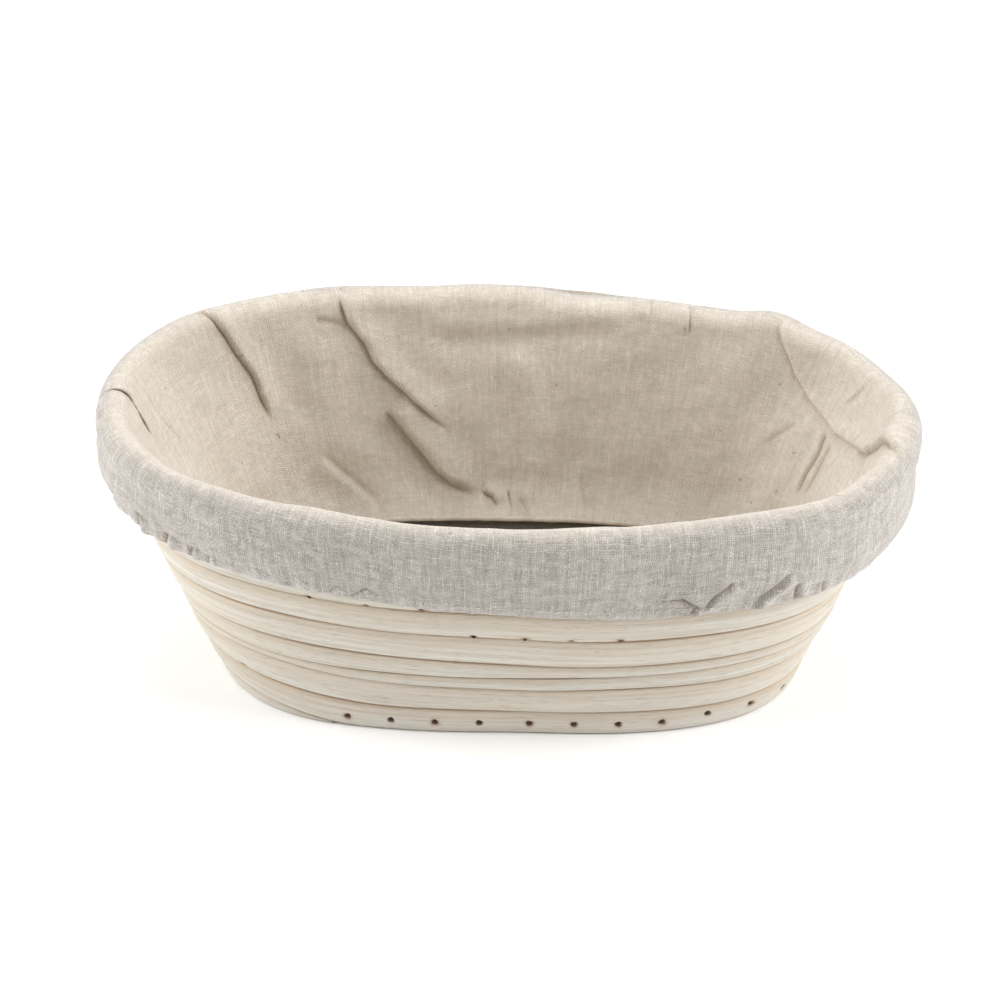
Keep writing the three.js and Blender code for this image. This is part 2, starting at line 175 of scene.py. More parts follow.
# ---- meshes ----
def new_thing(name, points, faces, fields):
    """An object in the scene, from points in mm, faces and per-point numbers for the materials."""
    mesh = bpy.data.meshes.new(name)
    mesh.from_pydata((points * MM).tolist(), [], faces)
    for key, values in fields.items():
        layer = mesh.attributes.new(key, "FLOAT", "POINT")
        layer.data.foreach_set("value", np.ascontiguousarray(values, np.float32).reshape(-1))
    mesh.shade_smooth()
    thing = bpy.data.objects.new(name, mesh)
    bpy.context.scene.collection.objects.link(thing)
    return thing


def grid_mesh(name, points, wrap_rows=False, wrap_columns=False, caps=False, fields=None, plan=None):
    """A mesh over a grid of points in mm. plan is the cloth's flat coordinates in metres."""
    rows, columns, _ = points.shape
    index = np.arange(rows * columns).reshape(rows, columns)
    if wrap_rows:
        index = np.vstack([index, index[:1]])
    if wrap_columns:
        index = np.hstack([index, index[:, :1]])
    quads = np.stack([index[:-1, :-1], index[:-1, 1:], index[1:, 1:], index[1:, :-1]], -1).reshape(-1, 4)
    faces = quads.tolist()
    if caps:
        faces += [list(range(columns))[::-1], [(rows - 1) * columns + j for j in range(columns)]]
    thing = new_thing(name, points.reshape(-1, 3), faces, fields or {})
    if plan is not None:
        mesh = thing.data
        flat = np.ascontiguousarray(plan, np.float32).reshape(-1, 2)
        loops = np.zeros(len(mesh.loops), np.int32)
        mesh.loops.foreach_get("vertex_index", loops)
        mesh.uv_layers.new(name="cloth").data.foreach_set("uv", flat[loops].reshape(-1))
    return thing


def facing_out(thing):
    """Turns a closed mesh's faces outwards."""
    mesh = thing.data
    co = np.zeros(len(mesh.vertices) * 3)
    mesh.vertices.foreach_get("co", co)
    co = co.reshape(-1, 3)
    mesh.calc_loop_triangles()
    tri = np.zeros(len(mesh.loop_triangles) * 3, np.int32)
    mesh.loop_triangles.foreach_get("vertices", tri)
    a, b, c = (co[tri.reshape(-1, 3)[:, i]] for i in range(3))
    if (a * np.cross(b, c)).sum() < 0:
        mesh.flip_normals()
    return thing


def place(thing, body, slot, material, *nodes):
    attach(thing, body)
    if nodes:
        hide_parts(*nodes)
    thing.data.materials.clear()
    thing.data.materials.append(material)
    return thing


# ---- materials ----
class Nodes:
    """Short names for building a material's nodes."""

    def __init__(self, name):
        self.material = bpy.data.materials.new(name)
        self.material.use_nodes = True
        self.tree = self.material.node_tree
        self.shader = self.tree.nodes["Principled BSDF"]

    def link(self, source, socket):
        if isinstance(source, (int, float)):
            socket.default_value = source
        elif isinstance(source, tuple):
            socket.default_value = source if len(source) == len(socket.default_value) else (*source, 1.0)
        else:
            self.tree.links.new(source, socket)

    def field(self, name, kind="Fac"):
        node = self.tree.nodes.new("ShaderNodeAttribute")
        node.attribute_name = name
        return node.outputs[kind]

    def math(self, operation, a, b=0.0, c=0.0, clamp=False):
        node = self.tree.nodes.new("ShaderNodeMath")
        node.operation, node.use_clamp = operation, clamp
        for socket, value in zip(node.inputs, (a, b, c)):
            self.link(value, socket)
        return node.outputs[0]

    def times(self, a, b):
        return self.math("MULTIPLY", a, b)

    def about_one(self, value, amount):
        """A number from 0 to 1, spread to either side of 1 by an amount."""
        return self.math("MULTIPLY_ADD", self.math("SUBTRACT", value, 0.5), amount, 1.0)

    def remap(self, value, low, high, to_low=0.0, to_high=1.0):
        node = self.tree.nodes.new("ShaderNodeMapRange")
        node.interpolation_type = "SMOOTHSTEP"
        for socket, x in zip(node.inputs, (value, low, high, to_low, to_high)):
            self.link(x, socket)
        return node.outputs[0]

    def vector(self, x, y, z=0.0):
        node = self.tree.nodes.new("ShaderNodeCombineXYZ")
        for socket, value in zip(node.inputs, (x, y, z)):
            self.link(value, socket)
        return node.outputs[0]

    def noise(self, where, scale, detail=2.0, rough=0.5):
        node = self.tree.nodes.new("ShaderNodeTexNoise")
        self.link(where, node.inputs["Vector"])
        for key, value in (("Scale", scale), ("Detail", detail), ("Roughness", rough)):
            node.inputs[key].default_value = value
        return node.outputs["Fac"]

    def place_xyz(self):
        return self.tree.nodes.new("ShaderNodeTexCoord").outputs["Object"]

    def blend(self, share, a, b, mode="MIX"):
        node = self.tree.nodes.new("ShaderNodeMix")
        node.data_type, node.blend_type = "RGBA", mode
        self.link(share, node.inputs[0])
        self.link(a, node.inputs[6])
        self.link(b, node.inputs[7])
        return node.outputs[2]

    def relief(self, height, distance_mm, strength=1.0):
        node = self.tree.nodes.new("ShaderNodeBump")
        node.inputs["Strength"].default_value = strength
        node.inputs["Distance"].default_value = distance_mm * MM
        self.link(height, node.inputs["Height"])
        self.link(node.outputs["Normal"], self.shader.inputs["Normal"])

    def finish(self, colour, rough, **constants):
        self.link(colour, self.shader.inputs["Base Color"])
        self.link(rough, self.shader.inputs["Roughness"])
        for key, value in constants.items():
            self.shader.inputs[key.replace("_", " ")].default_value = value
        return self.material


def linen_material(name, outside, inside, thread_mm):
    """Plain-woven linen: over-and-under threads with slubs, drawn in the cloth's flat coordinates."""
    warp_per_m, weft_per_m = 1 / (thread_mm * MM), 1 / (thread_mm * 1.08 * MM)
    slubs_per_m, streaks_per_m = 140.0, 26.0
    low_thread, weave_depth = 0.45, 0.16
    fleck_colour, crease_shade_colour = (0.16, 0.105, 0.06), (0.25, 0.165, 0.09)
    n = Nodes(name)
    uv = n.tree.nodes.new("ShaderNodeUVMap")
    uv.uv_map = "cloth"
    flat = uv.outputs[0]
    split = n.tree.nodes.new("ShaderNodeSeparateXYZ")
    n.link(flat, split.inputs[0])
    u, v = split.outputs[0], split.outputs[1]
    wobble = n.times(n.math("SUBTRACT", n.noise(flat, 130.0, 3.0), 0.5), 0.0024)
    warp = n.times(n.math("ADD", u, wobble), warp_per_m)
    weft = n.times(n.math("SUBTRACT", v, wobble), weft_per_m)
    warp_no, weft_no = n.math("FLOOR", warp), n.math("FLOOR", weft)
    over = n.math("FLOORED_MODULO", n.math("ADD", warp_no, weft_no), 2.0)
    warp_round = n.math("ABSOLUTE", n.math("SINE", n.times(warp, math.pi)))
    weft_round = n.math("ABSOLUTE", n.math("SINE", n.times(weft, math.pi)))
    warp_high = n.times(warp_round, n.math("MULTIPLY_ADD", over, low_thread, 1 - low_thread))
    weft_high = n.times(weft_round, n.math("MULTIPLY_ADD", over, -low_thread, 1.0))
    weave = n.math("MAXIMUM", warp_high, weft_high)
    # each thread has its own shade, and swells into slubs along its length
    warp_shade = n.noise(n.vector(n.times(warp_no, 7.31), n.times(v, slubs_per_m)), 1.0, 1.5)
    weft_shade = n.noise(n.vector(n.times(u, slubs_per_m), n.times(weft_no, 5.77)), 1.0, 1.5)
    shade = n.math("ADD", n.times(warp_shade, over), n.times(weft_shade, n.math("SUBTRACT", 1.0, over)))
    line = n.noise(n.vector(n.times(warp_no, 3.17), n.times(v, streaks_per_m)), 1.0, 1.0)
    cloudy = n.noise(flat, 38.0, 3.0, 0.6)
    mottled = n.noise(flat, 420.0, 3.0, 0.65)
    fleck = n.remap(n.noise(flat, 260.0, 1.0), 0.735, 0.80)
    light = n.about_one(shade, 1.0)
    for value, amount in ((line, 0.5), (cloudy, 0.26), (mottled, 0.85)):
        light = n.times(light, n.about_one(value, amount))
    # painted highlight on the threads' tops and painted shade in the gaps between them
    light = n.times(light, n.math("MULTIPLY_ADD", weave, 0.5, 0.64))
    # the inner face is worn smooth, so its threads stand out less; the casing is doubled, so it is paler
    contrast = n.math("MULTIPLY_ADD", n.field("inside"), -0.5, 1.0)
    usual = 0.95
    light = n.math("MULTIPLY_ADD", n.math("SUBTRACT", light, usual), contrast, usual)
    light = n.times(light, n.math("MULTIPLY_ADD", n.field("hemmed"), 0.09, 1.0))
    # painted light and shade: the same linen is coloured lighter and warmer inside the bowl, darker and
    # greyer on the skirt outside
    colour = n.blend(n.field("inside"), outside, inside)
    colour = n.blend(1.0, colour, n.vector(light, light, n.math("POWER", light, 1.12)), "MULTIPLY")
    colour = n.blend(n.times(fleck, 0.45), colour, fleck_colour)
    # painted shade: the creases, the seam by the floor and the ruche behind the rim are darkened to brown
    colour = n.blend(n.times(n.field("crease_shade"), 0.8), colour, crease_shade_colour)
    n.relief(n.math("ADD", weave, n.times(shade, 0.7)), weave_depth, 0.8)
    return n.finish(colour, n.remap(weave, 0.0, 1.0, 0.98, 0.88), Sheen_Weight=0.28, Sheen_Roughness=0.5)


def cane_material():
    """Peeled rattan: cream, long fibres and pores, bruised round the nails; painted shade in grooves and nail
    holes.
    """
    n = Nodes("rattan")
    along, girth = n.field("along"), n.field("girth")

    def grain(per_m_along, per_m_round, shift, *noise):
        where = n.vector(n.times(along, per_m_along), n.times(girth, per_m_round), shift)
        return n.noise(where, 1.0, *noise)

    streaks = grain(14.0, 900.0, 0.0, 4.0, 0.62)
    fibres = grain(60.0, 3600.0, 0.0, 2.0, 0.6)
    pores = n.remap(grain(170.0, 5200.0, 3.0, 1.0), 0.66, 0.74)
    bands = grain(9.0, 60.0, 8.0, 2.0)
    colour = n.blend(n.remap(streaks, 0.3, 0.72), (0.50, 0.455, 0.375), (0.64, 0.612, 0.552))
    colour = n.blend(n.remap(bands, 0.35, 0.7, 0.0, 0.5), colour, (0.575, 0.515, 0.41))
    colour = n.blend(n.remap(fibres, 0.42, 0.75, 0.0, 0.35), colour, (0.70, 0.68, 0.635))
    colour = n.blend(n.times(pores, 0.42), colour, (0.37, 0.26, 0.15))
    # groove tint: painted shade in the grooves and on the top of each round; bruise: the cane's own bruising
    # round the nails; pit tint: painted shadow in the hole about each nail
    for field, share, tint in (("groove_shade", 0.9, (0.40, 0.255, 0.13)), ("bruise", 0.55, (0.36, 0.205, 0.10)),
                               ("pit_shadow", 0.92, (0.045, 0.026, 0.017))):
        colour = n.blend(n.times(n.field(field), share), colour, tint)
    height = n.math("ADD", streaks, n.times(fibres, 0.6))
    n.relief(n.math("SUBTRACT", height, n.times(pores, 0.8)), 0.22, 0.75)
    return n.finish(colour, n.remap(streaks, 0.3, 0.7, 0.66, 0.5), Specular_IOR_Level=0.35)


def nail_material():
    n = Nodes("rusty_steel")
    where = n.place_xyz()
    rust = n.noise(where, 900.0, 3.0, 0.6)
    colour = n.blend(n.remap(rust, 0.35, 0.65), (0.022, 0.013, 0.009), (0.075, 0.042, 0.026))
    n.relief(rust, 0.18)
    return n.finish(colour, n.remap(rust, 0.3, 0.7, 0.45, 0.8), Metallic=0.35)


def thread_material():
    n = Nodes("sewing_thread")
    turn = n.times(n.field("girth"), 6.283)
    twist = n.math("SINE", n.math("MULTIPLY_ADD", n.field("along"), 9000.0, turn))
    fuzz = n.noise(n.place_xyz(), 2500.0, 2.0)
    colour = n.blend(n.remap(twist, -1.0, 1.0), (0.47, 0.42, 0.35), (0.66, 0.61, 0.53))
    colour = n.blend(n.remap(fuzz, 0.4, 0.7, 0.0, 0.4), colour, (0.72, 0.68, 0.61))
    n.relief(n.math("ADD", twist, fuzz), 0.05)
    return n.finish(colour, 0.85, Sheen_Weight=0.2)


def elastic_material():
    n = Nodes("braided_elastic")
    rib = n.math("ABSOLUTE", n.math("SINE", n.times(n.field("girth"), 9000.0)))
    braid = n.math("SINE", n.times(n.field("along"), 5200.0))
    colour = n.blend(n.remap(rib, 0.0, 1.0), (0.52, 0.50, 0.46), (0.82, 0.80, 0.76))
    colour = n.blend(n.remap(braid, 0.2, 1.0, 0.0, 0.35), colour, (0.62, 0.59, 0.54))
    n.relief(n.math("ADD", rib, n.times(braid, 0.3)), 0.15)
    return n.finish(colour, 0.8)


def floor_material():
    n = Nodes("studio_floor")
    fine = n.noise(n.place_xyz(), 6.0, 2.0)
    return n.finish(n.blend(n.remap(fine, 0.3, 0.7), (0.93, 0.93, 0.93), (0.95, 0.95, 0.95)), 0.9)


# the outside colour is the linen painted in shade, the inside colour the linen painted in light
linen = linen_material("linen", outside=(0.395, 0.365, 0.33), inside=(0.59, 0.528, 0.45), thread_mm=0.62)
rattan = cane_material()
steel = nail_material()
thread = thread_material()
elastic = elastic_material()

# ---- cane ----
BASE_WIDTH, TIE_WIDTH = 0.78, 0.6  # of a nail's head, as shares of the full outline
TIE_MARK = (0.72, 0.72, 1.7)  # the mark about a tie nail is long and low
TIE_SHOWS = (0.55, -1.95)  # how far a tie nail's head is moved out and up, to sit in its groove
HEAD_CORNERS = 5


def find_nails():
    """Each CAD nail's head, its direction from point to head, and its length."""
    found = {}
    for node in sorted(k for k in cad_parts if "_nail_" in k):
        tie = node.startswith("tie")
        co = np.array([v.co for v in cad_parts[node].data.vertices]) / MM
        middle = co.mean(0)
        # a base nail's head is its end furthest out, and a tie nail's its end furthest out and up
        reach = np.hypot(co[:, 0], co[:, 1]) + (2.0 * co[:, 2] if tie else 0)
        head = co[np.argsort(reach)[::-1][:HEAD_CORNERS]].mean(0)
        axis = head - middle
        if tie:
            outward = np.array([axis[0], axis[1], 0]) / np.hypot(axis[0], axis[1])
            head = head + outward * TIE_SHOWS[0] + (0, 0, TIE_SHOWS[1])
        found[node] = (head, axis / np.linalg.norm(axis), 2 * np.linalg.norm(axis))
    return found


nails = find_nails()


def section(fine_face):
    """A cane's section as [across, up] from -1 to 1. With fine_face, the face that shows has more points."""
    power = 2 / CANE_ROUNDNESS
    whole = 2 * math.pi
    if fine_face:
        edge, top, past_top = 0.86, 1.5, 1.65
        corner = math.asin(edge ** (1 / power))
        rest = np.concatenate([np.linspace(corner, top, 9)[1:], np.linspace(past_top, whole - past_top, 10),
                               np.linspace(whole - top, whole - corner, 9)[:-1]])
        face = np.linspace(-edge, edge, 24)
    else:
        rest, face = np.linspace(0, whole, 29)[:-1] - math.pi, np.zeros(0)
    x = np.sign(np.cos(rest)) * np.abs(np.cos(rest)) ** power
    y = np.sign(np.sin(rest)) * np.abs(np.sin(rest)) ** power
    face_out = (1 - np.abs(face) ** CANE_ROUNDNESS) ** (1 / CANE_ROUNDNESS)
    return np.concatenate([face_out, x]), np.concatenate([face, y])


def cane_heights(u, first, last):
    half = CANE_GAP / 2
    low = PITCH * layers_below(u) + np.where(u < 1, 0.0, half)
    high = PITCH * layers_below(u + 1) - half
    tail = np.clip((u - WALL_END + SCARF) / SCARF, 0, 1)
    high = mix(high, low, tail)
    full = high - low

    def cut(span):
        share = np.clip((u - span[0]) / (span[1] - span[0]), 0, 1)
        return np.clip(full * (1 - share), TIP + half, full - TIP - half)

    if last:
        high = np.where(u >= last[0], low + cut(last) - half, high)
    if first:
        low = np.where(u <= first[1], low + cut(first) + half, low)
    return low, np.maximum(high, low + TIP)


STATIONS = 260  # in one round
PROBES = 2400  # in one round, for finding what lies closest to a nail
NAIL_PATCH = 0.0058  # half of the finely meshed stretch about a nail, in rounds
NAIL_STATIONS = 15
NAIL_NEAR = PITCH * 0.62
# painted shade in the grooves: where it starts across a round's edge, and how sharply it darkens
GROOVE_SHADE_FROM, GROOVE_SHADE_SHARPNESS = 0.80, 1.3
FACE_FROM = 0.55  # across the cane, where its face starts


def wall_stations(start, end, first, last):
    """Where the cane's sections stand, in rounds, and whether any nail passes through it."""
    even = np.arange(math.ceil(start * STATIONS), math.floor(end * STATIONS) + 1) / STATIONS
    extra = []
    probe = np.linspace(start, end, int((end - start) * PROBES))
    low, high = cane_heights(probe, first, last)
    face = wall_point((low + high) / 2, WALL / 2 + 0 * probe, turn_at(probe))
    for head, _, _ in nails.values():
        gap = np.linalg.norm(face - head, axis=1)
        i = gap.argmin()
        if gap[i] < NAIL_NEAR:
            extra.append(probe[i] + np.linspace(-1, 1, NAIL_STATIONS) * NAIL_PATCH)
    us = np.unique(np.round(np.concatenate([even, [start, end], *extra]), 6))
    return us[(us >= start) & (us <= end)], bool(extra)


def nail_marks(points, normal, face):
    """The points sunk about the nails, with the painted shadow in each nail's hole and how bruised each is.
    """
    pit_shadow, bruise = np.zeros(points.shape[:2]), np.zeros(points.shape[:2])
    for i, (node, (head, _, _)) in enumerate(nails.items()):
        away = points - head
        if node.startswith("tie"):
            away = away * TIE_MARK
        gap = np.linalg.norm(away, axis=-1)
        ragged = gap * (1 + 0.07 * np.sin(3 * np.arctan2(away[..., 2], away[..., 0]) + i))
        hole = 1 - smooth((ragged - 0.75) / 0.4)
        halo = 1.2 + 0.5 * math.sin(3.7 * i)
        points = points - normal * (face * 0.7 * hole)[..., None]
        # painted shadow in the hole round the nail's head
        pit_shadow = np.maximum(pit_shadow, face * (1 - smooth((ragged - 0.75) / 0.45)))
        bruise = np.maximum(bruise, face * (1 - smooth((ragged - 0.8) / halo)))
    return points, pit_shadow, bruise


def wall_cane(name, start, end, first, last, seed, node):
    us, nailed = wall_stations(start, end, first, last)
    low, high = cane_heights(us, first, last)
    across, up = section(nailed)
    z = mix(low[:, None], high[:, None], (up + 1) / 2)
    pick = np.random.default_rng(seed).uniform(0, 6)
    bow = 0.20 * np.sin(us * 23.1 + pick) + 0.13 * np.sin(us * 61.7 + 2 * pick)
    # the lower edge of each round stands out a little more than its top
    out = across * WALL / 2 + bow[:, None] - CANE_TILT * up * (across > 0)
    turn = turn_at(us)[:, None]
    # the rounds aren't quite level: both sides of a groove wander together
    z = z + smooth(z / PITCH) * (0.22 * np.sin(3 * turn + z / 13) + 0.13 * np.sin(8 * turn - z / 9))
    points = wall_point(z, out, turn)
    step = np.linalg.norm(np.diff(points[:, 6], axis=0), axis=1)
    along = np.concatenate([[0], np.cumsum(step)])[:, None] * MM + 0 * z
    girth = (np.arctan2(up, across) / math.pi * GIRTH)[None, :] + 0 * z
    # painted shade: dark at the grooves, plus a painted gradient darkening the top of each round's outer face
    edge = np.clip((np.abs(up) - GROOVE_SHADE_FROM) / (1 - GROOVE_SHADE_FROM), 0, 1) ** GROOVE_SHADE_SHARPNESS
    edge = np.maximum(edge, 0.34 * smooth((up + 0.25) / 1.2) * (across > 0))
    groove_shade = edge[None, :] * smooth((high - low)[:, None] / 2.5) + 0 * z
    # the lowest round has no groove under it, so less painted groove shade on its lower edge
    groove_shade = np.where((us[:, None] < 1) & (up[None, :] < 0), groove_shade * 0.35, groove_shade)
    points, pit_shadow, bruise = nail_marks(points, wall_axes(z, turn)[0], across[None, :] > FACE_FROM)
    fields = {"along": along, "girth": girth, "groove_shade": groove_shade, "bruise": bruise, "pit_shadow": pit_shadow}
    thing = facing_out(grid_mesh(name, points, wrap_columns=True, caps=True, fields=fields))
    place(thing, "basket", "cane", rattan, node)


LOW_JOINT, HIGH_JOINT = JOINTS
wall_cane("wall_coils_lower", WALL_START, LOW_JOINT[1], None, LOW_JOINT, 1, "wall_cane_lower")
wall_cane("wall_coils_middle", LOW_JOINT[0], HIGH_JOINT[1], LOW_JOINT, HIGH_JOINT, 2, "wall_cane_middle")
wall_cane("wall_coils_upper", HIGH_JOINT[0], WALL_END, HIGH_JOINT, None, 3, "wall_cane_upper")


def floor_line():
    """The floor cane's middle line, with how far along its tail each point is."""
    points, taper = [], []

    def straight(y, sign):
        for t in np.linspace(0, 1, 21)[:-1]:
            points.append((sign * mix(-FLOOR_HALF_RUN, FLOOR_HALF_RUN, t), y))
            taper.append(0.0)

    straight(0.0, 1)
    y = 0.0
    for k in range(1, FLOOR_ARCS + 2):
        tail = k > FLOOR_ARCS
        side = 1 if k % 2 else -1
        radius = k / 2 * FLOOR_PITCH
        centre = y + side * radius
        sweep = math.radians(FLOOR_TAIL_DEG) if tail else math.pi
        steps = max(14, math.ceil(radius * sweep / 2.5))
        for i in range(steps + tail):
            a = sweep * i / steps - side * math.pi / 2
            points.append((side * FLOOR_HALF_RUN + radius * math.cos(a), centre + radius * math.sin(a)))
            taper.append(i / steps if tail else 0.0)
        y = centre + side * radius
        if not tail:
            straight(y, -side)
    return np.array(points), np.array(taper)


def floor_cane():
    line, taper = floor_line()
    radius = np.hypot(line[:, 0], line[:, 1]) / BASE[0]
    corner = np.sin(2 * np.arctan2(line[:, 1] / BASE[1], line[:, 0] / BASE[0])) ** 2
    line = line * (1 + FLOOR_SQUARE_OFF * radius * corner)[:, None]
    along = np.gradient(line, axis=0)
    along /= np.linalg.norm(along, axis=1, keepdims=True)
    left = np.stack([-along[:, 1], along[:, 0]], -1)
    width = mix(FLOOR_WIDTH, FLOOR_TAIL_WIDTH, taper)
    centre = line + left * ((FLOOR_WIDTH - width) / 2)[:, None]
    across, up = section(False)
    flat = centre[:, None, :] - left[:, None, :] * (across[None, :] * width[:, None] / 2)[..., None]
    run = np.concatenate([[0], np.cumsum(np.linalg.norm(np.diff(line, axis=0), axis=1))])
    z = (up + 1) / 2 * FLOOR_THICK + 0 * width[:, None]
    z = z + (up > 0) * 0.12 * np.sin(run / 17)[:, None]
    points = np.concatenate([flat, z[..., None]], -1)
    # painted shade along the floor cane's edges, in the grooves between its rounds
    groove_shade = np.clip((np.abs(across) - 0.62) / 0.38, 0, 1) ** 1.6 + 0 * z
    girth = np.arctan2(up, across)[None, :] / math.pi * GIRTH + 0 * z
    fields = {"along": run[:, None] * MM + 0 * z, "girth": girth, "groove_shade": groove_shade,
              "bruise": 0 * z, "pit_shadow": 0 * z}
    return facing_out(grid_mesh("floor_coil", points, wrap_columns=True, caps=True, fields=fields))


place(floor_cane(), "basket", "cane", rattan, "floor_cane")

# ---- nails ----
def nail(name, head, axis, length, seed, width):
    """A hammered brad: a low domed head, bent a little out of round, a straight shank and a point."""
    pick = np.random.default_rng(seed)
    side = np.cross(axis, (0, 0, 1.0))
    side /= np.linalg.norm(side)
    other = np.cross(axis, side)
    sunk = 0.25
    dome = [(0.02, 0.0), (0.45, -0.02), (0.86, -0.10), (1.10, -0.28), (1.12, -0.5)]
    shank = [(0.72, -0.95), (0.66, -1.3), (0.66, -length + 1.8), (0.4, -length + 0.8), (0.03, -length)]
    around = np.linspace(0, 2 * math.pi, 15)[:-1]
    squash, lean = pick.uniform(0.86, 1.0), pick.uniform(0, math.pi)
    c, s = math.cos(lean), math.sin(lean)
    rings = []
    for radius, depth in dome + shank:
        r = width * radius * (1 + 0.06 * np.cos(3 * around + seed))
        x, y = r * np.cos(around), r * np.sin(around) * squash
        flat = np.outer(c * x - s * y, side) + np.outer(s * x + c * y, other)
        rings.append(head + flat + axis * (depth - sunk))
    return facing_out(grid_mesh(name, np.array(rings), wrap_columns=True, caps=True))


for number, (node, (head, axis, length)) in enumerate(nails.items()):
    width = TIE_WIDTH if node.startswith("tie") else BASE_WIDTH
    brad = nail(node.replace("nail", "brad"), head, axis, length, number, width)
    place(brad, "basket", "nail", steel, node)

# ---- liner ----
MEASURED_AT = 50.0  # height at which the way round the cloth is measured


def hem_height(deg):
    side = (1 - np.cos(np.radians(deg))) / 2
    return HEM_BASE + HEM_LIFT * side ** 2.3 + 0.45 * ripple(np.radians(deg), 5, 5, 17, 0.6)


def arc_table():
    degs = np.linspace(-200, 200, 3201)
    p = wall_middle(MEASURED_AT, np.radians(degs))
    run = np.concatenate([[0], np.cumsum(np.linalg.norm(np.diff(p, axis=0), axis=1))])
    return degs, run - np.interp(0, degs, run)


ARC_DEG, ARC_RUN = arc_table()


def arc_at(deg):
    """Distance round the wall in mm, from the right end."""
    return np.interp(deg, ARC_DEG, ARC_RUN)


def along_line(x, y, points):
    """Signed distance to a line of points, with the share of its length at the closest place."""
    points = np.asarray(points, float)
    steps = np.diff(points, axis=0)
    lengths = np.linalg.norm(steps, axis=1)
    starts = np.concatenate([[0], np.cumsum(lengths)])
    best = np.full(np.shape(x), 1e9)
    signed, share = np.zeros_like(best), np.zeros_like(best)
    for p, step, length, start in zip(points, steps, lengths, starts):
        t = np.clip(((x - p[0]) * step[0] + (y - p[1]) * step[1]) / length ** 2, 0, 1)
        dx, dy = x - p[0] - t * step[0], y - p[1] - t * step[1]
        gap = np.hypot(dx, dy)
        closer = gap < best
        best = np.where(closer, gap, best)
        signed = np.where(closer, np.sign(step[0] * dy - step[1] * dx) * gap, signed)
        share = np.where(closer, (start + t * length) / starts[-1], share)
    return signed, share


# Folds inside the basket, as places on the wall: degrees round it, and mm up the cloth. side is where the
# ridge lies, +1 towards the left of the line's direction; all lines run downwards.
INNER_FOLDS = [
    # line, crease depth, crease width, ridge height, ridge width, side, strength of the painted shade in the
    # crease
    ([(149, 86), (146, 76), (144.5, 68), (142.5, 60), (142, 53), (141, 42)], 0.8, 1.0, 1.7, 4.0, -1, 0.8),
    ([(124, 82), (123, 72), (120.5, 65), (119.5, 59), (117, 53), (113, 46), (109, 40), (104.5, 33)],
     0.9, 1.3, 1.9, 5.0, -1, 0.8),
    ([(118.5, 43), (114.5, 33), (111.5, 26), (109, 20.5), (106, 17), (102, 15), (98, 14.6)],
     1.2, 2.3, 2.6, 6.0, -1, 0.75),
    ([(98.5, 14.6), (96, 13.4), (94.5, 10.8)], 0.8, 0.9, 1.4, 2.2, -1, 0.9),
    ([(129, 74.5), (125.5, 73), (122.5, 70)], 0.7, 1.9, 0.5, 4.0, -1, 0.35),
    ([(41, 81), (40.5, 77), (38, 71), (35, 64), (31, 58.5), (26, 55.5), (19, 53), (11.2, 55.2), (3, 59.0)],
     0.6, 1.1, 1.5, 4.0, -1, 0.42),
    ([(9, 56), (1.8, 59.8), (-3.2, 66.4), (-7.2, 72.3), (-13, 76.2), (-16.5, 80.5)],
     1.2, 0.9, 1.9, 2.6, -1, 0.8),
    ([(22.5, 52), (22.2, 44.5), (23.2, 37), (23.2, 28)], 0.6, 1.2, 0.8, 2.2, 1, 0.6),
    ([(19.0, 50), (19.6, 40), (20.0, 30)], 0.4, 1.2, 0.5, 2.6, 1, 0.4),
    ([(31.5, 49.5), (37.8, 39)], 0.2, 1.5, 0.3, 3.4, 1, 0.22),
    ([(57.3, 79), (56.6, 70)], 0.5, 0.9, 0.6, 2.2, 1, 0.3),
    ([(64.5, 80), (64.2, 74)], 0.4, 0.9, 0.5, 2.0, 1, 0.2),
    ([(173.5, 76), (172, 63), (169.5, 54), (169, 42)], 0.35, 0.8, 0.4, 2.4, 1, 0.22),
    ([(17.2, 71), (20.6, 62)], 0.25, 0.6, 0.3, 1.8, 1, 0.2),
    ([(92.5, 15), (91, 9.6)], 0.6, 0.7, 0.9, 1.6, 1, 0.45),
    ([(89.5, 13), (86.5, 9.6)], 0.5, 0.8, 0.6, 1.8, -1, 0.3),
    ([(133, 30), (126, 16), (122, 10)], 0.5, 2.2, 0.9, 5.5, 1, 0.3),
    ([(75, 20), (72, 10)], 0.4, 1.6, 0.5, 4.0, 1, 0.15),
    ([(-62, 34), (-66, 20), (-72, 10)], 0.7, 1.8, 1.2, 4.5, 1, 0.5),
    ([(-118, 60), (-113, 44), (-108, 30)], 0.7, 1.6, 1.3, 4.2, 1, 0.5),
    ([(-35, 66), (-38, 50), (-42, 36)], 0.6, 1.4, 1.2, 4.2, 1, 0.4),
]
# Soft swells and hollows: a line, its height (below 0 is a hollow) and its width.
INNER_SWELLS = [
    ([(89.5, 58), (86.5, 45), (85.2, 34), (85.6, 24), (87.5, 14)], 2.4, 4.6),
    ([(104, 64), (88, 65.5), (72, 68)], -1.0, 3.6),
    ([(104, 70), (88, 71.5), (72, 74)], 0.8, 4.0),
    ([(160, 60), (150, 40), (146, 22)], 0.8, 13.0),
    ([(130, 60), (128, 40), (124, 24)], 1.2, 9.0),
    ([(104, 56), (98, 40), (94, 26)], 1.0, 8.0),
    ([(70, 60), (66, 40), (64, 24)], 0.9, 11.0),
    ([(46, 60), (48, 40), (50, 24)], 1.1, 10.0),
    ([(29, 46), (30, 34), (32, 22)], 1.2, 6.0),
    ([(8, 40), (10, 25)], 1.1, 10.0),
]
